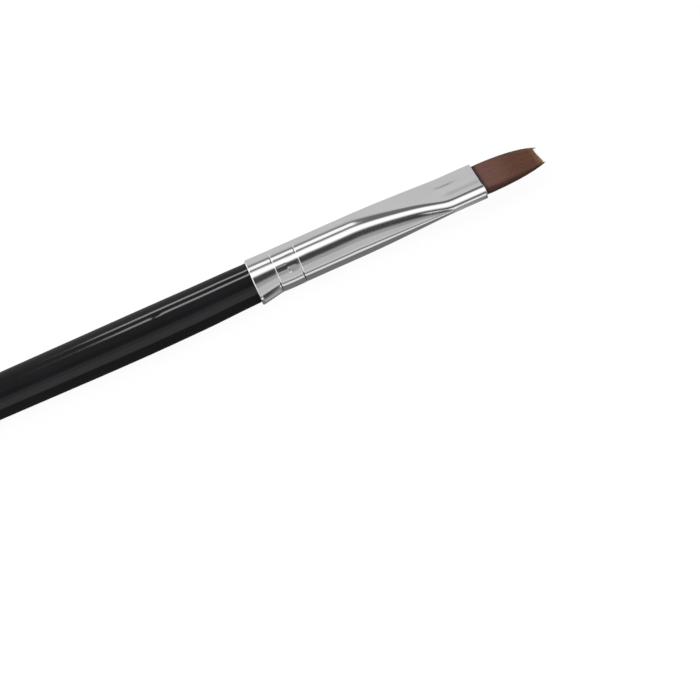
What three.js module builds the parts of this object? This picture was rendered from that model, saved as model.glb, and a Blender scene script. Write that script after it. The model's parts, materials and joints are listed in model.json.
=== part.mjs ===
// Flat acrylic nail brush: a turned handle, a crimped and pressed metal ferrule, and a tuft of hair.
// Millimetres, +Z up. The brush lies along X with its hair towards +X, and the pressed flats face up and
// down. The pieces are made with x = 0 at the ferrule's mouth and the axis at z = 0, and the last lines
// move the whole brush so that its origin is at the bottom centre of its box.
import * as THREE from "three";

// Ferrule
const TUBE_RADIUS = 3.0;
const WALL = 0.3;
const FERRULE_LENGTH = 33.5;
const MOUTH_WIDTH = 7.7;
const MOUTH_THICKNESS = 1.95;
const FLAT_LENGTH = 4.2; // the last stretch before the mouth, where the flats are level
const PRESS_LENGTH = 15.2; // the stretch over which round turns to flat
const SKIRT_RADIUS = 3.3; // the flared rear edge
const SKIRT_LENGTH = 3.0;
const CRIMP_DEPTH = 0.12;
const CRIMP_HALF_WIDTH = 0.35;
const CRIMP_PITCH = 3.4; // from the rear edge to the first ring, and on to the second

// Handle
const HANDLE_VISIBLE = 132.5; // behind the ferrule
const HANDLE_NECK_RADIUS = 2.93;
const BELLY_RADIUS = 3.15;
const TAIL_RADIUS = 1.95;
const TENON_RADIUS = 2.45;
const TENON_LENGTH = 16;
const SHOULDER_LENGTH = 1.8;
// The barrel swells from tail to belly through these points: shares of the visible length, and of the rise
// from the tail's radius to the belly's.
const BARREL_SWELL = [
  [0.31, 0.42],
  [0.6, 0.79],
  [0.87, 1],
];
const BARREL_STEPS = 18;
const TAIL_STEPS = 5;

// Hair, adhesive and thread
const HAIR_FREE = 9.0; // from the mouth to the cut tips
const HAIR_HINGE = 3.0; // a bending hair acts like a hinge a third of the way along its free length
const HAIR_WIDTH = 7.1;
const HAIR_TIP_NARROWING = 0.36; // the tip is narrower than the root by this share
const HAIR_ROOT_THICKNESS = 1.3;
const HAIR_TIP_THICKNESS = 0.34;
const HAIR_BUTT = 12; // how far the hair reaches back into the ferrule
const TUFT_EDGE_THINNING = 0.6; // the tuft's side edges are thinner than its middle by this share
const LOCKS = 5;
const GLUE_BEHIND_SHOULDER = 0.6; // the glue starts this far inside the shoulder
const GLUE_SHORT_OF_END = 0.5; // and stops this far short of the tenon's end
const PLUG_LENGTH = 3.6;
const THREAD_DIAMETER = 0.3;
const THREAD_TURNS = 4;
const THREAD_FROM_BUTT = 1.2;

const FIT = 0.05; // room between neighbours that touch on the real brush
const LOCK_GAP = 0.1; // between neighbouring locks
const HINGE_GAP = 0.3; // between the clamped hair and a lock's round rear end
const SIDES = 48;
const PRESS_STEPS = 12;
const REAR = -FERRULE_LENGTH;
const TAIL = REAR - HANDLE_VISIBLE;
const SEAT_START = -HAIR_BUTT + THREAD_FROM_BUTT - FIT; // the waist that the thread pulls into the hair
const SEAT_END = SEAT_START + THREAD_TURNS * THREAD_DIAMETER + 2 * FIT;
const SEAT_STEP = 0.01; // length over which the waist's shoulders fall

const MATERIALS = {
  lacquer: new THREE.MeshStandardMaterial({ color: 0x1b1b1d, roughness: 0.18, metalness: 0 }),
  metal: new THREE.MeshStandardMaterial({ color: 0xc9c9cb, roughness: 0.16, metalness: 1 }),
  glue: new THREE.MeshStandardMaterial({ color: 0xd9c58e, roughness: 0.5, metalness: 0 }),
  resin: new THREE.MeshStandardMaterial({ color: 0xb98f4a, roughness: 0.3, metalness: 0 }),
  thread: new THREE.MeshStandardMaterial({ color: 0xe4ddcb, roughness: 0.9, metalness: 0 }),
  hair: new THREE.MeshStandardMaterial({ color: 0x624437, roughness: 0.45, metalness: 0 }),
};

// A rise from 0 to 1 that is straight in the middle and eases in and out over the first and last fifth.
function ramp(t) {
  const ease = 0.2;
  const slope = 1 / (1 - ease);
  if (t <= 0) return 0;
  if (t >= 1) return 1;
  if (t < ease) return (slope * t * t) / (2 * ease);
  if (t > 1 - ease) return 1 - (slope * (1 - t) * (1 - t)) / (2 * ease);
  return slope * (t - ease / 2);
}

// Half the ferrule's thickness at x: the tube's radius where it is round, half the mouth's at the flats.
function halfThickness(x) {
  const pressed = ramp((x + FLAT_LENGTH + PRESS_LENGTH) / PRESS_LENGTH);
  return THREE.MathUtils.lerp(TUBE_RADIUS, MOUTH_THICKNESS / 2, pressed);
}

// Half the level stretch of the pressed section at x. The metal that goes out of the height goes into
// the width, so the two keep one ratio.
function halfFlat(x) {
  const atMouth = (MOUTH_WIDTH - MOUTH_THICKNESS) / 2;
  return (atMouth * (TUBE_RADIUS - halfThickness(x))) / (TUBE_RADIUS - MOUTH_THICKNESS / 2);
}

// How deep the two crimped rings go at x.
function crimp(x) {
  const fromRing = Math.min(
    Math.abs(x - REAR - CRIMP_PITCH),
    Math.abs(x - REAR - 2 * CRIMP_PITCH),
  );
  return CRIMP_DEPTH * Math.max(0, 1 - fromRing / CRIMP_HALF_WIDTH);
}

// The ferrule's outer radius at x, before it is pressed.
function tubeRadius(x) {
  const alongSkirt = Math.min((x - REAR) / SKIRT_LENGTH, 1);
  return THREE.MathUtils.lerp(SKIRT_RADIUS, TUBE_RADIUS, alongSkirt) - crimp(x);
}

// Stations along the crimped stretch: the skirt's end, and each ring's edges and bottom.
function crimpStations() {
  const stations = [REAR + SKIRT_LENGTH / 2];
  for (const ring of [1, 2]) {
    for (const step of [-1, 0, 1]) stations.push(REAR + ring * CRIMP_PITCH + step * CRIMP_HALF_WIDTH);
  }
  return stations;
}

// Evenly spaced stations from a to b, both included.
function stations(a, b, steps) {
  return Array.from({ length: steps + 1 }, (_, i) => THREE.MathUtils.lerp(a, b, i / steps));
}

// Turns a profile of [x, radius] points about the X axis. A start angle of half a step puts a level facet
// at the top and at the bottom, and 0 puts an edge there.
function turned(profile, start = Math.PI / SIDES) {
  const points = profile.map(([x, radius]) => new THREE.Vector2(radius, x));
  return new THREE.LatheGeometry(points, SIDES, start).rotateZ(-Math.PI / 2);
}

// Turns a wall whose outer and inner radius are functions of x, open at both ends.
function turnedWall(along, outer, inner) {
  const outside = along.map((x) => [x, outer(x)]);
  const inside = along.map((x) => [x, inner(x)]).reverse();
  return turned([...outside, ...inside, outside[0]]);
}

// Turns a solid whose radius is a function of x, closed at both ends.
function turnedSolid(along, radius) {
  const skin = along.map((x) => [x, radius(x)]);
  return turned([[along[0], 0], ...skin, [along.at(-1), 0]]);
}

// Moves each vertex of a geometry by a function that changes a vector in place.
function reshape(geometry, move) {
  const position = geometry.getAttribute("position");
  const point = new THREE.Vector3();
  for (let i = 0; i < position.count; i++) {
    move(point.fromBufferAttribute(position, i));
    position.setXYZ(i, point.x, point.y, point.z);
  }
  geometry.computeVertexNormals();
  return geometry;
}

// Presses a turned piece to the ferrule's section. Each point keeps its depth below the tube's skin.
function press(point) {
  const radius = Math.hypot(point.y, point.z);
  if (radius === 0) return;
  const pressed = radius - TUBE_RADIUS + halfThickness(point.x);
  const side = Math.sign(point.y);
  point.y = (point.y / radius) * pressed + side * halfFlat(point.x);
  point.z = (point.z / radius) * pressed;
}

// Half the tuft's width at x, from the mouth to the tip.
function hairHalfWidth(x) {
  return (HAIR_WIDTH / 2) * (1 - HAIR_TIP_NARROWING * (x / HAIR_FREE) ** 3);
}

// Half the tuft's thickness at x, from the mouth to the tip.
function hairHalfThickness(x) {
  return THREE.MathUtils.lerp(HAIR_ROOT_THICKNESS, HAIR_TIP_THICKNESS, x / HAIR_FREE) / 2;
}

function ferrule() {
  const along = [
    REAR,
    ...crimpStations(),
    ...stations(-FLAT_LENGTH - PRESS_LENGTH, -FLAT_LENGTH, PRESS_STEPS),
    0,
  ];
  const wall = turnedWall(along, tubeRadius, (x) => tubeRadius(x) - WALL);
  return reshape(wall, press);
}

// The barrel's curve from the round end to the ferrule, as points of x and radius.
function barrel() {
  const swell = BARREL_SWELL.map(
    ([along, rise]) =>
      new THREE.Vector2(
        TAIL + along * HANDLE_VISIBLE,
        THREE.MathUtils.lerp(TAIL_RADIUS, BELLY_RADIUS, rise),
      ),
  );
  const tailEnd = new THREE.Vector2(TAIL + TAIL_RADIUS, TAIL_RADIUS);
  const neck = new THREE.Vector2(REAR, HANDLE_NECK_RADIUS);
  return new THREE.SplineCurve([tailEnd, ...swell, neck]).getPoints(BARREL_STEPS);
}

// The handle lies on an edge of its facets, so that a brush on a table rests on one line under the barrel.
function handle() {
  const roundEnd = stations(0, Math.PI / 2, TAIL_STEPS).map((angle) => [
    TAIL + TAIL_RADIUS * (1 - Math.cos(angle)),
    TAIL_RADIUS * Math.sin(angle),
  ]);
  const skin = barrel().slice(1);
  const tenon = [REAR + SHOULDER_LENGTH, ...crimpStations().slice(1), REAR + TENON_LENGTH];
  const profile = [
    ...roundEnd,
    ...skin.map((point) => [point.x, point.y]),
    ...tenon.map((x) => [x, TENON_RADIUS - crimp(x)]),
    [REAR + TENON_LENGTH, 0],
  ];
  return turned(profile, 0);
}

// The glue fills the space between the tenon and the ferrule's bore, from the shoulder to the tenon's end.
function handleAdhesive() {
  const start = REAR + SHOULDER_LENGTH + GLUE_BEHIND_SHOULDER;
  const end = REAR + TENON_LENGTH - GLUE_SHORT_OF_END;
  const along = [start, ...crimpStations().slice(1), end];
  return turnedWall(
    along,
    (x) => TUBE_RADIUS - WALL - FIT - crimp(x),
    (x) => TENON_RADIUS + FIT - crimp(x),
  );
}

// The resin plug stands behind the hair's butt and seals the ferrule.
function adhesivePlug() {
  const front = -HAIR_BUTT - FIT;
  const along = stations(front - PLUG_LENGTH, front, 4);
  return reshape(turnedSolid(along, () => TUBE_RADIUS - WALL - FIT), press);
}

// Turns of thread side by side, drawn together as one ring with a round back for each turn.
function bindingThread() {
  const start = SEAT_START + FIT;
  const end = start + THREAD_TURNS * THREAD_DIAMETER;
  const outer = TUBE_RADIUS - WALL - FIT;
  const profile = [[start, outer - THREAD_DIAMETER / 2]];
  for (let turn = 0; turn < THREAD_TURNS; turn++) {
    profile.push([start + (turn + 0.5) * THREAD_DIAMETER, outer]);
    profile.push([start + (turn + 1) * THREAD_DIAMETER, outer - THREAD_DIAMETER / 2]);
  }
  profile.push([end, outer - THREAD_DIAMETER]);
  profile.push([start, outer - THREAD_DIAMETER]);
  profile.push(profile[0]);
  return reshape(turned(profile), press);
}

// The stretch of the hair that the ferrule clamps, and the short stretch in front of it that hardly bends.
function bristleRoot() {
  const mouthRadius = TUBE_RADIUS - MOUTH_THICKNESS / 2 + HAIR_ROOT_THICKNESS / 2 - FIT;
  const front = HAIR_HINGE - hairHalfThickness(HAIR_HINGE) - HINGE_GAP;
  const along = [
    -HAIR_BUTT,
    SEAT_START,
    SEAT_START + SEAT_STEP,
    SEAT_END - SEAT_STEP,
    SEAT_END,
    ...stations(SEAT_END + 1, -FLAT_LENGTH, 5),
    0,
    front,
  ];
  const radius = (x) => {
    if (x > SEAT_START && x < SEAT_END) return mouthRadius - THREAD_DIAMETER - FIT;
    return x > 0 ? mouthRadius - hairHalfThickness(0) + hairHalfThickness(x) : mouthRadius;
  };
  return reshape(turnedSolid(along, radius), press);
}

// One lock of free hair. Its rear end is round about the hinge, it thins towards the cut, and it takes
// its share of the tuft's width, which narrows towards the tip.
function bristleLock(index) {
  const reach = HAIR_FREE - HAIR_HINGE;
  const share = 2 / LOCKS;
  const middle = -1 + share * (index + 0.5);
  const block = new THREE.BoxGeometry(1, 1, 1, 8, 3, 6);
  return reshape(block, (point) => {
    const along = point.x + 0.5;
    const angle = point.z * Math.PI;
    const station = HAIR_HINGE + along * reach;
    const across = middle + point.y * share;
    const rounding = 1 - TUFT_EDGE_THINNING * Math.abs(across) ** 6;
    const halfHeight = hairHalfThickness(station);
    point.x = station - (1 - along) * halfHeight * Math.cos(angle);
    point.y = across * hairHalfWidth(point.x) - point.y * LOCK_GAP;
    point.z = halfHeight * rounding * Math.sin(angle);
  });
}

function named(name, geometry, material) {
  const mesh = new THREE.Mesh(geometry, material);
  mesh.name = name;
  return mesh;
}

const brush = new THREE.Group();
brush.add(named("handle", handle(), MATERIALS.lacquer));
brush.add(named("ferrule", ferrule(), MATERIALS.metal));
brush.add(named("handle_adhesive", handleAdhesive(), MATERIALS.glue));
brush.add(named("bristle_adhesive_plug", adhesivePlug(), MATERIALS.resin));
brush.add(named("binding_thread", bindingThread(), MATERIALS.thread));
brush.add(named("bristle_root", bristleRoot(), MATERIALS.hair));
for (let index = 0; index < LOCKS; index++) {
  brush.add(named(`bristle_lock_${index + 1}`, bristleLock(index), MATERIALS.hair));
}

const box = new THREE.Box3().setFromObject(brush);
brush.position.set(-(box.min.x + box.max.x) / 2, 0, -box.min.z);

export default brush;
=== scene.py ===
"""The looks of a flat acrylic nail brush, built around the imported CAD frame.

Shape functions work in millimetres, with x = 0 at the ferrule's mouth, +x towards the tips of the hair
and y = z = 0 on the brush's axis. place() turns those points into metres in the frame. Angles round the
axis start at +Y and turn towards +Z.
"""
import json
import math

import bpy
import numpy as np
from mathutils import Matrix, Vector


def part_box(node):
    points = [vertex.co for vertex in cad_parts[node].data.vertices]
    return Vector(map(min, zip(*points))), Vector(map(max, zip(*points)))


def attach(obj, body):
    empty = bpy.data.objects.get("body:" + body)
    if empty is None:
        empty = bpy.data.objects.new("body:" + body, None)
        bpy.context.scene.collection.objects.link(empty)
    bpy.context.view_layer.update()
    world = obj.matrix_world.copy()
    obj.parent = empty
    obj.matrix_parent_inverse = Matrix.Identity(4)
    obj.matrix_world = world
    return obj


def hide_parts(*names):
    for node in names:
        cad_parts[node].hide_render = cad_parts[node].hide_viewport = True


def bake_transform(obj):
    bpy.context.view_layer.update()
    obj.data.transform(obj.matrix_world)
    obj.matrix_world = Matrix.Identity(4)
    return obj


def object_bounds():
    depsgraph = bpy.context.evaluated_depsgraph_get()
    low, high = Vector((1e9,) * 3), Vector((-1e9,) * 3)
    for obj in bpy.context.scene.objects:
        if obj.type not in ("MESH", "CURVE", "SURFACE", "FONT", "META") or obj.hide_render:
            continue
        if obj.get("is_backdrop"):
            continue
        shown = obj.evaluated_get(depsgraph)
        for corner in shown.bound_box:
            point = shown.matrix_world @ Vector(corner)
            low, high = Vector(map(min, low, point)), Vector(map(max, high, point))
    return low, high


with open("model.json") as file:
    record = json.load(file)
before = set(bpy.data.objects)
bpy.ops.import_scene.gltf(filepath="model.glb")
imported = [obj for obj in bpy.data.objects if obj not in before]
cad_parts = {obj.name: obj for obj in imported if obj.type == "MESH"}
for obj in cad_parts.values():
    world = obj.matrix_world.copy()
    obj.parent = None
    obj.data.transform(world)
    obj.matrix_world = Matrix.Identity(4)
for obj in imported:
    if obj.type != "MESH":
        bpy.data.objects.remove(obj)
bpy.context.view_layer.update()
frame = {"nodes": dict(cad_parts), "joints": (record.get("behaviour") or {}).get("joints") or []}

MM = 0.001
ferrule_low, ferrule_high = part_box("ferrule")
MOUTH_X = ferrule_high.x
AXIS_Z = (ferrule_low.z + ferrule_high.z) / 2


def from_mouth(x):
    """A frame position along X, in millimetres from the mouth."""
    return (x - MOUTH_X) / MM


REAR = from_mouth(ferrule_low.x)
TAIL = from_mouth(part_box("handle")[0].x)
TIP = from_mouth(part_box("bristle_lock_3")[1].x)
BUTT = from_mouth(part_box("bristle_root")[0].x)
LOCKS = len(frame["joints"])

# The ferrule's tube and how it is pressed
TUBE_RADIUS = 3.0
WALL = 0.3
MOUTH_HALF_WIDTH = (ferrule_high.y - ferrule_low.y) / 2 / MM
MOUTH_HALF_THICKNESS = 1.15
MOUTH_HALF_FLAT = 2.65
FLAT_LENGTH = 5.3
PRESS_LENGTH = 13.2
PRESS_POWER = 1.45  # the press starts gently and is steepest where it meets the flats
PRESS_ROUNDING = 0.7  # half the length over which the press eases into the flats
THINNING_POWER = 0.85  # below 1, the tube gets thin sooner than it gets wide
FLATTENING_POWER = 0.7  # below 1, the flats widen sooner than the tube
EDGE_POWER = 1.33  # how flat the pressed edge's upper near quarter is, where 2 is an ellipse
FERRULE_SIDES = 208

# What the ferrule's making left on it. Depths and heights are across the skin.
CRIMP_PITCH = 3.4
CRIMP_DEPTH = 0.034
CRIMP_WIDTH = 0.08
BULGE = 0.04  # between the crimped rings, on the low side
SKIRT_LENGTH = 3.1
SKIRT_RISE = 0.03
SKIRT_FLARE = 0.53  # on the low side, on top of the rise
LOW_SIDE = math.radians(237)  # the side where the rear skirt stands out most
LIP_DEPTH = 0.04
LIP_LENGTH = 0.4
JAW_SIDE = math.radians(158)  # the middle of one crimping jaw's mark
JAW_WIDTH = 0.12  # in radians
JAW_EDGE = 5.2  # from the rear to the mark's sharp edge
HOLLOW = 0.03  # of the flats
CREASE_DEPTH = 0.135
CREASE_Y = 0.4
CREASE_WIDTH = 0.54
SLUMP = 0.24  # of the flats towards the near edge
MOUTH_WAVE = math.radians(160)  # where the mouth's edge stands a little proud
DENTS = 34

# The handle
NECK_RADIUS = 2.87
BELLY_RADIUS = 3.09
TAIL_RADIUS = 1.95
TENON_RADIUS = 2.45
TENON_LENGTH = 16.0
SHOULDER_LENGTH = 1.8
HANDLE_SIDES = 160
SEAT_DROP = 0.27  # how far the stick sits off the ferrule's axis
BOW = 0.1
BOW_X = -52
NIB_HEIGHT = 0.04  # a small nib of dry lacquer
NIB_X = -47.2
NIB_SIDE = math.radians(125)

# The hair
TUFT_HALF_WIDTH = 3.5
TUFT_HALF_THICKNESS = (0.76, 0.2)  # at the mouth and at the tips
TUFT_GAP = 0.05  # between the clamped hair and the ferrule's wall
TUFT_LEAN = 0.27  # sideways, at the tips
HAIR_SPACING = 0.09
HAIR_RADIUS = 0.045
HAIR_SPLIT = -0.6  # inside the mouth, where the clamped stretch ends and the free stretch starts
HAIR_SEED = 7

CRIMPS = (REAR + CRIMP_PITCH, REAR + 2 * CRIMP_PITCH)


def place(points):
    """Millimetres from the mouth to metres in the frame."""
    return np.asarray(points, float) * MM + (MOUTH_X, 0.0, AXIS_Z)


def mix(a, b, t):
    return a + (b - a) * t


def smooth(low, high, x):
    """0 below low, 1 above high, and an eased rise between them."""
    t = np.clip((np.asarray(x, float) - low) / (high - low), 0, 1)
    return t * t * (3 - 2 * t)


def bump(x, centre, width):
    """A bell of height 1."""
    return np.exp(-(((np.asarray(x, float) - centre) / width) ** 2))


def new_object(name, vertices, faces, smooth_shading=True):
    mesh = bpy.data.meshes.new(name)
    mesh.from_pydata(place(vertices).tolist(), [], faces)
    if smooth_shading:
        mesh.shade_smooth()
    obj = bpy.data.objects.new(name, mesh)
    bpy.context.scene.collection.objects.link(obj)
    return obj


def ring_faces(index, closed):
    """Quads between neighbouring rings of vertex numbers, facing out where x rises along the rings."""
    if closed:
        index = np.vstack([index, index[:1]])
    here, ahead = index[:-1], index[1:]
    corners = [here, np.roll(here, -1, axis=1), np.roll(ahead, -1, axis=1), ahead]
    return np.stack(corners, axis=-1).reshape(-1, 4)


def loft(name, rings, closed=False):
    """An object from rings of points. closed joins the last ring to the first, else both ends are capped."""
    rings = np.asarray(rings, float)
    index = np.arange(rings.shape[0] * rings.shape[1]).reshape(rings.shape[:2])
    faces = ring_faces(index, closed).tolist()
    if not closed:
        faces.append(index[0][::-1].tolist())
        faces.append(index[-1].tolist())
    return new_object(name, rings.reshape(-1, 3), faces)


# ---------------------------------------------------------------- ferrule shape


def press(x):
    """How far the tube is pressed at x, from 0 where it is round to 1 at the flats."""
    start = -FLAT_LENGTH - PRESS_LENGTH
    steps = np.linspace(-PRESS_ROUNDING, PRESS_ROUNDING, 9)
    reach = [np.clip((x + step - start) / PRESS_LENGTH, 0, 1) ** PRESS_POWER for step in steps]
    return sum(reach) / len(reach)


def half_thickness(x):
    return mix(TUBE_RADIUS, MOUTH_HALF_THICKNESS, press(x) ** THINNING_POWER)


def half_width(x):
    return mix(TUBE_RADIUS, MOUTH_HALF_WIDTH, press(x))


def quarter(flat, edge, thick, power, count):
    """A quarter of a section as count steps of even length, from the edge at (flat + edge, 0) round a
    superellipse and in along the flat to (0, thick)."""
    turn = np.linspace(0, math.pi / 2, 181)
    y = flat + edge * np.cos(turn) ** (2 / power)
    z = thick * np.sin(turn) ** (2 / power)
    line = np.vstack([np.column_stack([y, z]), [0, thick]])
    length = np.concatenate([[0], np.cumsum(np.linalg.norm(np.diff(line, axis=0), axis=1))])
    at = np.linspace(0, length[-1], count + 1)
    return np.column_stack([np.interp(at, length, line[:, 0]), np.interp(at, length, line[:, 1])])


def outline(flat, edge, thick, near_power):
    """The whole section, from the far edge over the top. Its upper near quarter has its own power."""
    count = FERRULE_SIDES // 4
    plain = quarter(flat, edge, thick, 2, count)
    near = quarter(flat, edge, thick, near_power, count)
    return np.vstack([plain[:-1], (near * (-1, 1))[:0:-1], -plain[:-1], (plain * (1, -1))[:0:-1]])


def outward(ring):
    """The unit normals of a closed section in its own plane."""
    along = np.roll(ring, -1, axis=0) - np.roll(ring, 1, axis=0)
    normal = np.column_stack([along[:, 1], -along[:, 0]])
    return normal / np.linalg.norm(normal, axis=1, keepdims=True)


def ferrule_relief(x, angle):
    """How far the tube's skin stands off its plain round shape: the skirt that flares on the low side, its
    rolled edge, the two crimped rings, the bulge and the jaw's mark between them, and the dents."""
    low = 0.5 + 0.5 * np.cos(angle - LOW_SIDE)
    fallen = np.clip((x - REAR) / SKIRT_LENGTH, 0, 1)
    relief = (SKIRT_RISE + SKIRT_FLARE * low**4.5) * (1 - fallen)
    relief -= LIP_DEPTH * (1 - smooth(REAR, REAR + LIP_LENGTH, x)) ** 2
    for ring in CRIMPS:
        relief -= CRIMP_DEPTH * bump(x, ring, CRIMP_WIDTH)
    between = np.clip((x - CRIMPS[0]) / CRIMP_PITCH, 0, 1)
    relief += BULGE * low**4 * np.sin(math.pi * between)
    relief -= jaw_mark(x, angle)
    for dent_x, dent_angle, reach, depth in FERRULE_DENTS:
        relief -= depth * bump(x, dent_x, reach) * bump(angle, dent_angle, reach / TUBE_RADIUS)
    return relief


def jaw_mark(x, angle):
    """The depth of one crimping jaw's mark between the rings: a sunk pad and a fainter one beside it, a
    dimple in the pad's rear edge, and fine grip lines behind that."""
    edge = REAR + JAW_EDGE
    front = CRIMPS[1]
    behind = CRIMPS[0]
    pad = smooth(edge - 0.2, edge + 0.2, x) * (1 - smooth(front - 0.9, front - 0.2, x))
    grip = smooth(behind + 0.1, behind + 0.3, x) * (1 - smooth(edge - 0.2, edge, x))
    sunk = 0.05 * pad * bump(angle, JAW_SIDE, JAW_WIDTH)
    fainter = 0.006 * pad * bump(angle, JAW_SIDE - 0.62, JAW_WIDTH)
    lines = 0.006 * grip * np.cos(40 * angle) * bump(angle, JAW_SIDE - 0.2, 0.25)
    dimple = 0.035 * bump(x, edge, 0.12) * bump(angle, JAW_SIDE - 0.05, 0.06)
    return sunk + fainter - lines + dimple


def ferrule_dents():
    """Shallow dents where the tube was handled: (x, angle, reach, depth)."""
    rng = np.random.default_rng(11)
    return [
        (
            rng.uniform(REAR + 7.5, -16),
            rng.uniform(0, 2 * math.pi),
            rng.uniform(0.5, 1.3),
            rng.uniform(0.003, 0.01),
        )
        for _ in range(DENTS)
    ]


FERRULE_DENTS = ferrule_dents()


def ferrule_ring(x, inset):
    """One ring of the ferrule's wall at x, inset below the outer skin. Near the mouth its flats are a
    little hollow, with a crease, and slump towards the near edge, and its end is slightly wavy."""
    pressed = float(press(x))
    flat = MOUTH_HALF_FLAT * pressed**FLATTENING_POWER
    power = mix(2, EDGE_POWER, pressed)
    ring = outline(flat, float(half_width(x)) - flat, float(half_thickness(x)), power)
    angle = np.arange(FERRULE_SIDES) * 2 * math.pi / FERRULE_SIDES
    ring = ring + outward(ring) * (ferrule_relief(x, angle) - inset)[:, None]
    near_flats = float(smooth(-10, -4, x))
    crease = CREASE_DEPTH * float(smooth(-8.0, -5.6, x) * (1 - 0.7 * smooth(-4.2, -1.2, x)))
    y = ring[:, 0]
    level = np.clip(1 - (y / MOUTH_HALF_FLAT) ** 2, 0, 1) ** 2
    hollow = HOLLOW * near_flats * level + crease * bump(y, CREASE_Y, CREASE_WIDTH)
    slump = SLUMP * near_flats * smooth(0.6, 2.4, -y)
    ring[:, 1] -= np.where(ring[:, 1] > 0, hollow + slump, -hollow)
    wave = 0.2 * bump(angle, MOUTH_WAVE, 0.35) + 0.16 * bump(angle, MOUTH_WAVE + 1.2, 0.5)
    return np.column_stack([x + wave * float(smooth(-1.2, -0.2, x)), ring])


def lip(x, inset, radius, start, turns):
    """Stations (x, inset) round one rounded edge of the wall."""
    return [
        (x + radius * math.cos(a), inset + radius * math.sin(a))
        for a in np.radians(np.linspace(start, start + turns, 5))
    ]


def ferrule():
    """The tube as one closed wall: along the outside to the mouth, back along the inside, and round both
    edges. Its rings stand closer together at the crimps and at the jaw's edge."""
    coarse, fine = 0.16, 0.04
    plain = np.arange(REAR + 0.2, -0.1, coarse)
    crimps = [np.arange(ring - 0.6, ring + 0.6, fine) for ring in CRIMPS]
    jaw = np.arange(REAR + 5.0, REAR + 5.45, fine)
    outside = np.unique(np.round(np.concatenate([plain, *crimps, jaw]), 3))
    inside = np.linspace(-0.1, REAR + 0.14, 44)
    rim = 0.12
    rolled = 0.12
    stations = [(x, 0.0) for x in outside]
    stations += lip(-rim, rim, rim, -90, 90)
    stations += lip(-rim, WALL - rim, rim, 0, 90)
    stations += [(x, WALL) for x in inside]
    stations += lip(REAR + rolled, WALL - rolled, rolled, 90, 90)
    stations += lip(REAR + rolled, rolled, rolled, 180, 90)
    piece = loft("ferrule_shell", [ferrule_ring(x, inset) for x, inset in stations], closed=True)
    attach(piece, "brush")
    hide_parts("ferrule")
    return piece


# ---------------------------------------------------------------- handle shape


def catmull_rom(points, count):
    """count + 1 points on the curve through the given ones."""
    points = np.asarray(points, float)
    spans = len(points) - 1
    found = []
    for share in np.linspace(0, 1, count + 1):
        k = min(int(share * spans), spans - 1)
        t = share * spans - k
        p0, p1, p2, p3 = (points[min(max(k + step, 0), spans)] for step in (-1, 0, 1, 2))
        v1, v2 = (p2 - p0) / 2, (p3 - p1) / 2
        found.append(
            (2 * p1 - 2 * p2 + v1 + v2) * t**3 + (3 * p2 - 3 * p1 - 2 * v1 - v2) * t**2 + v1 * t + p1
        )
    return np.array(found)


def handle_profile():
    """(x, radius) from the tail's tip to the tenon's end."""
    visible = REAR - TAIL
    barrel = catmull_rom(
        [
            (TAIL + TAIL_RADIUS, TAIL_RADIUS),
            (TAIL + 0.31 * visible, mix(TAIL_RADIUS, BELLY_RADIUS, 0.42)),
            (TAIL + 0.6 * visible, mix(TAIL_RADIUS, BELLY_RADIUS, 0.79)),
            (TAIL + 0.87 * visible, BELLY_RADIUS),
            (REAR, NECK_RADIUS),
        ],
        300,
    )
    turn = np.linspace(0.04, math.pi / 2, 22)
    round_end = np.column_stack([TAIL + TAIL_RADIUS * (1 - np.cos(turn)), TAIL_RADIUS * np.sin(turn)])
    shoulder_x = np.linspace(REAR, REAR + SHOULDER_LENGTH, 14)[1:]
    shoulder = np.column_stack(
        [shoulder_x, mix(NECK_RADIUS, TENON_RADIUS, smooth(REAR, REAR + SHOULDER_LENGTH, shoulder_x))]
    )
    end_round = 0.3
    waist = 0.1
    tenon_x = np.linspace(REAR + SHOULDER_LENGTH, REAR + TENON_LENGTH - end_round, 60)[1:]
    tenon_radius = TENON_RADIUS - sum(waist * bump(tenon_x, ring, 0.2) for ring in CRIMPS)
    end_turn = np.linspace(0, 1.45, 8)[1:]
    end = np.column_stack(
        [tenon_x[-1] + end_round * np.sin(end_turn), TENON_RADIUS - end_round * (1 - np.cos(end_turn))]
    )
    return np.vstack([round_end, barrel[1:], shoulder, np.column_stack([tenon_x, tenon_radius]), end])


def handle_offset(x):
    """How far the stick lies off the ferrule's axis towards the low side: it sits a little low in the
    ferrule and is very slightly bowed."""
    seated = 1 - smooth(REAR - 1, REAR + 3, x)
    return float(seated * (SEAT_DROP + BOW * bump(x, BOW_X, 14) - 0.09 * smooth(-42, -35, x)))


def handle():
    """The turned stick. Its lacquered barrel is very slightly uneven, as a dipped coat is."""
    rng = np.random.default_rng(5)
    angle = np.arange(HANDLE_SIDES) * 2 * math.pi / HANDLE_SIDES
    waves = [
        (
            rng.uniform(0.05, 0.35),
            rng.integers(1, 5),
            rng.uniform(0, 2 * math.pi),
            rng.uniform(0.0006, 0.0022),
        )
        for _ in range(14)
    ]
    rings = []
    for x, radius in handle_profile():
        coat = sum(size * np.sin(rate * x + times * angle + start) for rate, times, start, size in waves)
        nib = NIB_HEIGHT * bump(x, NIB_X, 0.5) * bump(angle, NIB_SIDE, 0.1)
        r = radius + (coat + nib) * (x < REAR)
        aside = handle_offset(x)
        y = r * np.cos(angle) + aside * math.cos(LOW_SIDE)
        z = r * np.sin(angle) + aside * math.sin(LOW_SIDE)
        rings.append(np.column_stack([np.full(HANDLE_SIDES, x), y, z]))
    piece = loft("handle_stick", rings)
    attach(piece, "brush")
    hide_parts("handle")
    return piece


# ---------------------------------------------------------------- hair shape


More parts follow.
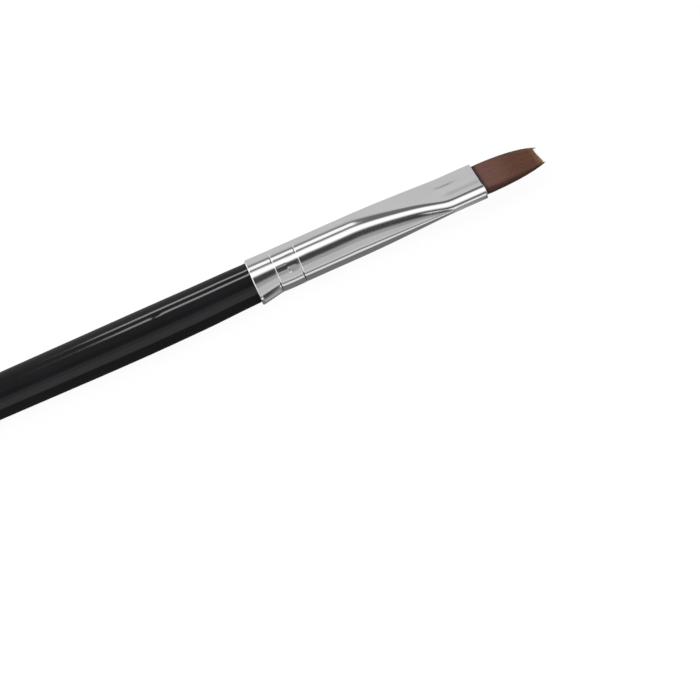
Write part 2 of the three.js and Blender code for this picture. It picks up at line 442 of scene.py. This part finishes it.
def tuft_half_width(x):
    """Clamped by the ferrule, then a hair's breadth wider, then rounding in towards the tips."""
    inside = half_width(x) - WALL - TUFT_GAP
    out = np.clip(x, 0, None)
    free = TUFT_HALF_WIDTH * (1 + 0.03 * smooth(0, 1.2, out)) * (1 - 0.385 * (out / TIP) ** 3.7)
    return np.where(x < 0, inside, free)


def tuft_half_thickness(x):
    inside = half_thickness(x) - WALL - TUFT_GAP
    return np.where(x < 0, inside, mix(*TUFT_HALF_THICKNESS, np.clip(x, 0, None) / TIP))


def tuft_point(x, across, deep):
    """The point at x of a hair whose place in the section is across and deep, each from -1 to 1. The
    section's ends are rounder where it is nearly as thick as it is wide."""
    wide, thick = tuft_half_width(x), tuft_half_thickness(x)
    power = np.clip(2 + 1.2 * (wide / thick - 1), 2, 8)
    edge = np.sqrt(np.clip(1 - np.abs(across) ** power, 0, 1))
    lean = -TUFT_LEAN * (np.clip(x, 0, None) / TIP) ** 5
    return np.stack([x, across * wide + lean, deep * thick * edge], axis=-1)


def hair_places(rng):
    """Where each hair stands in the section, as (across, deep), on a jittered hexagonal pattern."""
    wide, thick = float(tuft_half_width(0.0)), float(tuft_half_thickness(0.0))
    rows = np.arange(-thick + HAIR_RADIUS, thick, HAIR_SPACING * math.sqrt(0.75))
    found = []
    for row, z in enumerate(rows):
        shift = HAIR_SPACING / 2 * (row % 2)
        for y in np.arange(-wide + HAIR_RADIUS + shift, wide - HAIR_RADIUS, HAIR_SPACING):
            y_here = y + rng.uniform(-1, 1) * 0.008
            across = y_here / wide
            edge = math.sqrt(max(0.0, 1 - abs(across) ** 8))
            if abs(z) <= thick * edge:
                found.append((across, z / (thick * max(edge, 0.2))))
    return np.array(found)


def strands(name, places, start, ends, rings, sides, rng_seed):
    """One object of separate closed tapered hairs from start to ends, on the tuft's lines."""
    rng = np.random.default_rng(rng_seed)
    count = len(places)
    share = np.linspace(0, 1, rings)
    x = start + (np.asarray(ends)[:, None] - start) * share
    sway = rng.uniform(0, 2 * math.pi, (2, count, 1))
    reach = np.clip(x, 0, None) / TIP
    across = places[:, :1] + 0.006 * reach * np.sin(1.1 * x + sway[0])
    deep = places[:, 1:] + 0.05 * reach * np.sin(0.9 * x + sway[1])
    middle = tuft_point(x, across, deep)
    taper = 1 - 0.55 * np.clip(x, 0, None) / TIP
    radius = HAIR_RADIUS * taper * rng.uniform(0.9, 1.08, (count, 1))
    radius[:, -1] *= 0.55
    turn = np.arange(sides) * 2 * math.pi / sides
    circle = np.stack([np.zeros(sides), np.cos(turn), np.sin(turn)], axis=-1)
    points = middle[:, :, None, :] + radius[:, :, None, None] * circle
    index = np.arange(count * rings * sides).reshape(count, rings, sides)
    faces = []
    for hair in index:
        faces += ring_faces(hair, False).tolist()
        faces.append(hair[0][::-1].tolist())
        faces.append(hair[-1].tolist())
    piece = new_object(name, points.reshape(-1, 3), faces)
    along = np.repeat(x / TIP, sides, axis=1).ravel()
    tone = np.repeat(rng.uniform(0, 1, count), rings * sides)
    edge = np.repeat(np.abs(places[:, 0]), rings * sides)
    for label, values in (("along", along), ("tone", tone), ("edge", edge)):
        attribute = piece.data.attributes.new(label, "FLOAT", "POINT")
        attribute.data.foreach_set("value", values.astype(np.float32))
    return piece


def hair_ends(places, rng):
    """Where each hair stops: the cut is slightly hollow and ragged, and hairs at its corners stand out."""
    across = places[:, 0]
    ragged = np.abs(rng.normal(0, 0.09, len(places)))
    ends = TIP - 0.12 - 0.08 * across - 0.1 * bump(across, 0.3, 0.55) - ragged
    spur = np.abs(across) > 0.95
    return np.where(spur, TIP + rng.uniform(-0.05, 0.2, len(places)), ends)


def hair():
    """The clamped bundle, and the free hair in side-by-side locks that part from it just inside the mouth.
    """
    rng = np.random.default_rng(HAIR_SEED)
    places = hair_places(rng)
    ends = hair_ends(places, rng)
    root = strands("hair_bundle", places, BUTT, np.full(len(places), HAIR_SPLIT), 7, 5, HAIR_SEED)
    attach(root, "brush")
    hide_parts("bristle_root")
    lock_of = np.clip(((places[:, 0] + 1) / 2 * LOCKS).astype(int), 0, LOCKS - 1)
    pieces = [root]
    for lock in range(LOCKS):
        here = lock_of == lock
        seed = HAIR_SEED + lock
        piece = strands(f"hair_lock_{lock + 1}", places[here], HAIR_SPLIT, ends[here], 13, 6, seed)
        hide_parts(f"bristle_lock_{lock + 1}")
        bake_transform(piece)
        pieces.append(piece)
    return pieces


# ---------------------------------------------------------------- materials


class Nodes:
    """A node tree, with short ways to add what the looks and the studio need."""

    def __init__(self, tree):
        self.tree = tree

    def add(self, kind, **settings):
        node = self.tree.nodes.new(kind)
        for key, value in settings.items():
            setattr(node, key, value)
        return node

    def feed(self, socket, value):
        """Links an output to the socket, or sets a constant on it."""
        if isinstance(value, bpy.types.NodeSocket):
            self.tree.links.new(value, socket)
        else:
            socket.default_value = value

    def math(self, operation, a, b=0.0):
        node = self.add("ShaderNodeMath", operation=operation)
        self.feed(node.inputs[0], a)
        self.feed(node.inputs[1], b)
        return node.outputs["Value"]

    def eased(self, value, low, high):
        """0 at low, 1 at high, and an eased rise between them."""
        node = self.add("ShaderNodeMapRange", interpolation_type="SMOOTHSTEP")
        node.inputs["From Min"].default_value = low
        node.inputs["From Max"].default_value = high
        self.feed(node.inputs["Value"], value)
        return node.outputs["Result"]

    def between(self, value, low, high):
        """value from 0 to 1, turned into a number from low to high."""
        node = self.add("ShaderNodeMapRange")
        node.inputs["To Min"].default_value = low
        node.inputs["To Max"].default_value = high
        self.feed(node.inputs["Value"], value)
        return node.outputs["Result"]

    def ramp(self, value, stops):
        """Colours by value: stops is a list of (position, colour)."""
        node = self.add("ShaderNodeValToRGB")
        elements = node.color_ramp.elements
        while len(elements) < len(stops):
            elements.new(0.5)
        for element, (position, colour) in zip(elements, stops):
            element.position = position
            element.color = (*colour, 1)
        self.feed(node.inputs["Fac"], value)
        return node.outputs["Color"]

    def blend(self, kind, factor, a, b):
        """Two colours blended in one of the Mix node's ways."""
        node = self.add("ShaderNodeMix", data_type="RGBA", blend_type=kind)
        factor_socket, a_socket, b_socket = node.inputs[0], node.inputs[6], node.inputs[7]
        self.feed(factor_socket, factor)
        self.feed(a_socket, a)
        self.feed(b_socket, b)
        return node.outputs[2]

    def axes(self, vector):
        node = self.add("ShaderNodeSeparateXYZ")
        self.feed(node.inputs["Vector"], vector)
        return node.outputs["X"], node.outputs["Y"], node.outputs["Z"]


class Shader(Nodes):
    """A new material's nodes."""

    def __init__(self, name):
        self.material = bpy.data.materials.new(name)
        self.material.use_nodes = True
        super().__init__(self.material.node_tree)
        self.surface = self.tree.nodes["Principled BSDF"]

    def look(self, socket, value):
        self.feed(self.surface.inputs[socket], value)

    def noise(self, scale, detail=4):
        """Noise on the piece's own coordinates, with about this many features per metre along each axis."""
        mapping = self.add("ShaderNodeMapping")
        mapping.inputs["Scale"].default_value = scale
        self.feed(mapping.inputs["Vector"], self.add("ShaderNodeTexCoord").outputs["Object"])
        node = self.add("ShaderNodeTexNoise")
        node.inputs["Scale"].default_value = 1.0
        node.inputs["Detail"].default_value = detail
        self.feed(node.inputs["Vector"], mapping.outputs["Vector"])
        return node.outputs["Fac"]

    def attribute(self, name):
        return self.add("ShaderNodeAttribute", attribute_name=name).outputs["Fac"]

    def bump(self, heights, distance):
        """Surface relief from a height from 0 to 1, this many metres deep."""
        node = self.add("ShaderNodeBump")
        node.inputs["Distance"].default_value = distance
        self.feed(node.inputs["Height"], heights)
        self.look("Normal", node.outputs["Normal"])


def grey(value):
    return (value, value, value)


def metal_look():
    """Bright drawn tube: fine lines along the axis, faint smears and small scratches."""
    s = Shader("bright_metal_look")
    smear = s.noise((220, 400, 400), detail=3)
    s.look("Metallic", 1.0)
    s.look("Base Color", s.ramp(smear, [(0.3, (0.81, 0.805, 0.82)), (0.7, (0.86, 0.855, 0.87))]))
    s.look("Roughness", s.between(smear, 0.04, 0.13))
    s.bump(s.noise((60, 9000, 9000), detail=3), 0.0000004)
    return s.material


def lacquer_look():
    """Deep gloss black, dipped: a faint orange peel and a little dust under the coat."""
    s = Shader("black_lacquer_look")
    cloud = s.noise((120, 300, 300), detail=3)
    s.look("IOR", 1.5)
    s.look("Base Color", s.ramp(cloud, [(0.3, (0.0065, 0.0062, 0.007)), (0.7, (0.0095, 0.009, 0.0105))]))
    s.look("Roughness", s.between(cloud, 0.06, 0.14))
    s.bump(s.noise((700, 1400, 1400), detail=2), 0.000001)
    return s.material


def hair_look():
    """Brown synthetic sable: each hair a little different, redder at the root, amber at the cut, with
    painted shade inside the mouth and just past it, where the ferrule's lip shades the hair, and along the
    tuft's two edges."""
    s = Shader("hair_look")
    # painted shade: the first stops, up to about 0.075, darken the hair inside the mouth and just past it,
    # where the ferrule's lip shades it
    along = s.ramp(
        s.attribute("along"),
        [
            (0.0, (0.03, 0.016, 0.013)),
            (0.03, (0.07, 0.036, 0.03)),
            (0.075, (0.16, 0.072, 0.06)),
            (0.3, (0.158, 0.074, 0.052)),
            (0.6, (0.136, 0.058, 0.036)),
            (0.88, (0.14, 0.06, 0.034)),
            (0.95, (0.25, 0.14, 0.075)),
            (1.0, (0.62, 0.46, 0.27)),
        ],
    )
    tone = s.ramp(s.attribute("tone"), [(0.0, grey(0.92)), (1.0, grey(1.06))])
    # painted shade: the hair darkens towards the tuft's two side edges, where they turn away from the light
    edge = s.ramp(s.attribute("edge"), [(0.84, grey(1.0)), (1.0, grey(0.32))])
    fleck = s.ramp(s.noise((400, 9000, 9000), detail=2), [(0.3, grey(0.96)), (0.7, grey(1.03))])
    colour = s.blend("MULTIPLY", 1.0, along, tone)
    colour = s.blend("MULTIPLY", 1.0, colour, edge)
    s.look("Base Color", s.blend("MULTIPLY", 1.0, colour, fleck))
    s.look("Roughness", s.between(s.attribute("tone"), 0.4, 0.55))
    s.look("Specular IOR Level", 0.3)
    return s.material


def glue_look(name, dark, light, roughness):
    """Set adhesive: cloudy, with small bubbles."""
    s = Shader(name)
    cloud = s.noise((900, 900, 900))
    s.look("Base Color", s.ramp(cloud, [(0.3, dark), (0.7, light)]))
    s.look("Roughness", s.between(cloud, roughness - 0.1, roughness + 0.1))
    s.bump(s.noise((2500, 2500, 2500), detail=2), 0.00001)
    return s.material


def thread_look():
    """Waxed cotton: lay lines across the thread and a soft, uneven cream."""
    s = Shader("thread_look")
    cloud = s.noise((3000, 3000, 3000))
    s.look("Base Color", s.ramp(cloud, [(0.3, (0.62, 0.56, 0.42)), (0.7, (0.82, 0.78, 0.66))]))
    s.look("Roughness", s.between(cloud, 0.75, 0.95))
    s.bump(s.noise((9000, 4000, 4000), detail=2), 0.00002)
    return s.material


def wear(obj, material):
    """Gives a piece or a CAD node its material."""
    if obj.data.materials:
        obj.material_slots[0].material = material
    else:
        obj.data.materials.append(material)


# ---------------------------------------------------------------- studio


STUDIO_RADIUS = 1.0
LIGHT_FADE = 0.03  # metres over which a strip light dims towards its ends, at most a quarter of it

# The room that every glossy piece reflects: (height angle, brightness). Height angles go round the
# brush's axis: 0 in front, 90 overhead, 180 behind and -90 below.
ROOM = [
    (-180, 0.2), (-152, 0.2), (-146, 0.03), (-38, 0.03), (-33, 0.55), (-20, 0.55), (-3, 0.54), (2, 0.38),
    (8, 0.35), (13, 0.4), (18, 0.22), (25, 0.055), (40, 0.055), (50, 0.13), (118, 0.16), (130, 0.26),
    (180, 0.26),
]
REAR_ROOM = [(-180, 0.03), (-40, 0.03), (-30, 1.0), (180, 1.0)]  # the same beyond the handle's end
END_ROOM = [  # the same where a reflection runs along the brush
    (-180, 0.2), (-90, 0.1), (-45, 0.25), (-10, 0.8), (10, 1.0), (60, 1.0), (85, 0.45), (110, 0.5),
    (125, 1.0), (150, 0.8), (180, 0.4),
]
REAR_ROOM_FADE = (-0.25, -0.4)  # the x of a reflection's direction where the rear room fades in
END_ROOM_FADE = (0.57, 0.7)  # the same, to either side, for the room at the ends

# Strip lights along the brush: height angle and width in degrees, softness of the two long edges in
# degrees, brightness, and start and end in metres from the mouth. The first set shows only in the
# ferrule, the second only in the handle.
FERRULE_LIGHTS = {
    "wall": (165, 106, 32, 0.34, -0.9, 0.9),
    "far_ceiling": (100.5, 28, 10, 1.02, -0.6, 0.088),
    "near_ceiling": (65.8, 40, 14, 1.1, -0.6, 0.7),
    "table_edge": (-39.5, 15, 4, 0.5, -0.6, 0.125),
    "low_strip": (-58.7, 23, 7, 0.8, -0.6, 0.08),
    "floor_glow": (-108, 78, 4, 0.15, -0.6, 0.1),
    "front_fill": (17, 52, 8, 1.0, 0.074, 0.15),
    "front_floor": (-90, 110, 8, 0.35, 0.07, 0.12),
}
HANDLE_LIGHTS = {
    "far_tube": (116.5, 15, 7, 6.5, -0.175, 0.1),
    "near_tube": (85.5, 15, 7, 7.0, -0.17, 0.1),
}


def studio_world():
    """White for diffuse light and the camera, and the room for reflections."""
    world = bpy.data.worlds.new("studio")
    bpy.context.scene.world = world
    world.use_nodes = True
    world.cycles.sampling_method = "NONE"
    world.node_tree.nodes.clear()
    n = Nodes(world.node_tree)
    white = (1.0, 1.0, 1.0, 1.0)
    x, y, z = n.axes(n.add("ShaderNodeTexCoord").outputs["Generated"])
    angle = n.math("ARCTAN2", z, n.math("MULTIPLY", y, -1.0))
    share = n.math("ADD", n.math("DIVIDE", angle, 2 * math.pi), 0.5)
    beside, behind, at_ends = (
        n.ramp(share, [((degrees + 180) / 360, grey(value)) for degrees, value in stops])
        for stops in (ROOM, REAR_ROOM, END_ROOM)
    )
    room = n.blend("MIX", n.eased(x, *REAR_ROOM_FADE), beside, behind)
    room = n.blend("MIX", n.eased(n.math("ABSOLUTE", x), *END_ROOM_FADE), room, at_ends)
    background = n.add("ShaderNodeBackground")
    is_glossy = n.add("ShaderNodeLightPath").outputs["Is Glossy Ray"]
    n.feed(background.inputs["Color"], n.blend("MIX", is_glossy, white, room))
    n.feed(n.add("ShaderNodeOutputWorld").inputs["Surface"], background.outputs["Background"])


def strip_light(name, receiver, height_angle, width, softness, brightness, start, end):
    """A strip light along the brush that only receiver reflects."""
    data = bpy.data.lights.new(name, "AREA")
    data.shape = "RECTANGLE"
    data.size = end - start
    data.size_y = 2 * STUDIO_RADIUS * math.tan(math.radians(width / 2))
    data.energy = brightness * math.pi * data.size * data.size_y
    data.use_nodes = True
    n = Nodes(data.node_tree)
    along, across, _ = n.axes(n.add("ShaderNodeNewGeometry").outputs["Parametric"])
    strength = 1.0
    for place_in, fade in ((along, min(LIGHT_FADE / data.size, 0.25)), (across, softness / width)):
        strength = n.math("MULTIPLY", strength, n.eased(place_in, 0, fade))
        strength = n.math("MULTIPLY", strength, n.eased(place_in, 1, 1 - fade))
    n.feed(data.node_tree.nodes["Emission"].inputs["Strength"], strength)
    light = bpy.data.objects.new(name, data)
    bpy.context.scene.collection.objects.link(light)
    angle = math.radians(height_angle)
    light.location = (
        MOUTH_X + (start + end) / 2,
        -STUDIO_RADIUS * math.cos(angle),
        AXIS_Z + STUDIO_RADIUS * math.sin(angle),
    )
    light.rotation_euler = (math.pi / 2 - angle, 0, 0)
    light.visible_camera = False
    light.visible_diffuse = False
    light.visible_transmission = False
    only = bpy.data.collections.get(receiver.name) or bpy.data.collections.new(receiver.name)
    if receiver.name not in only.objects:
        only.objects.link(receiver)
    light.light_linking.receiver_collection = only


def floor():
    """A wide white light table just below the brush, which leaves only a breath of shadow."""
    low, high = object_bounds()
    size = 3.0
    z = low.z - 0.00002
    middle = (low.x + high.x) / 2
    corners = [(middle + sx * size, sy * size, z) for sx, sy in ((-1, -1), (1, -1), (1, 1), (-1, 1))]
    mesh = bpy.data.meshes.new("floor")
    mesh.from_pydata(corners, [], [(0, 1, 2, 3)])
    plane = bpy.data.objects.new("floor", mesh)
    bpy.context.scene.collection.objects.link(plane)
    s = Shader("floor_look")
    s.look("Roughness", 0.8)
    s.look("Specular IOR Level", 0.1)
    s.look("Base Color", s.ramp(s.noise((40, 40, 40)), [(0.0, grey(0.04)), (1.0, grey(0.055))]))
    s.look("Emission Color", (1.0, 1.0, 1.0, 1.0))
    s.look("Emission Strength", 0.95)
    wear(plane, s.material)
    plane.visible_glossy = False
    plane.visible_shadow = False
    plane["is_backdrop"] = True


def key_light():
    """One large soft box above the view's left shoulder, for the hair and the floor."""
    data = bpy.data.lights.new("key", "AREA")
    data.shape = "RECTANGLE"
    data.size = 0.5
    data.size_y = 0.35
    data.energy = 0.8
    light = bpy.data.objects.new("key", data)
    bpy.context.scene.collection.objects.link(light)
    light.location = (MOUTH_X - 0.15, -0.25, 0.5)
    light.rotation_euler = (math.radians(27), math.radians(-12), 0)
    light.visible_glossy = False


def camera():
    """Square to the brush's axis a little behind the mouth, and 57 degrees off the flats' normal. The lens
    looks past the brush, which therefore lies above and left of the middle, and the frame is rolled."""
    distance = 0.2643
    off_normal = math.radians(57)
    behind_mouth = 0.029
    yaw, pitch, roll = (math.radians(a) for a in (0.81, 3.008, 24.0))
    data = bpy.data.cameras.new("camera")
    data.lens = 100
    data.sensor_width = 36
    data.clip_start = 0.01
    data.clip_end = 20
    cam = bpy.data.objects.new("camera", data)
    bpy.context.scene.collection.objects.link(cam)
    foot = np.array([MOUTH_X - behind_mouth, 0, AXIS_Z])
    forward = np.array([0, math.sin(off_normal), -math.cos(off_normal)])
    cam.location = foot - distance * forward
    right = np.array([1.0, 0, 0])
    up = np.cross(right, forward)
    forward, right = (
        forward * math.cos(yaw) + right * math.sin(yaw),
        right * math.cos(yaw) - forward * math.sin(yaw),
    )
    forward, up = (
        forward * math.cos(pitch) - up * math.sin(pitch),
        up * math.cos(pitch) + forward * math.sin(pitch),
    )
    right, up = (
        right * math.cos(roll) - up * math.sin(roll),
        up * math.cos(roll) + right * math.sin(roll),
    )
    cam.rotation_euler = Matrix(np.column_stack([right, up, -forward]).tolist()).to_euler()
    bpy.context.scene.camera = cam


# ---------------------------------------------------------------- the brush

camera()
studio_world()
key_light()
bpy.context.scene.view_settings.view_transform = "Standard"

ferrule_piece = ferrule()
handle_piece = handle()
wear(ferrule_piece, metal_look())
wear(handle_piece, lacquer_look())
for light_name, setting in FERRULE_LIGHTS.items():
    strip_light(light_name, ferrule_piece, *setting)
for light_name, setting in HANDLE_LIGHTS.items():
    strip_light(light_name, handle_piece, *setting)
hair_material = hair_look()
for tuft_piece in hair():
    wear(tuft_piece, hair_material)
glue = glue_look("glue_look", dark=(0.55, 0.42, 0.18), light=(0.75, 0.62, 0.34), roughness=0.5)
resin = glue_look("resin_look", dark=(0.36, 0.18, 0.04), light=(0.55, 0.32, 0.1), roughness=0.3)
wear(frame["nodes"]["handle_adhesive"], glue)
wear(frame["nodes"]["bristle_adhesive_plug"], resin)
wear(frame["nodes"]["binding_thread"], thread_look())
floor()
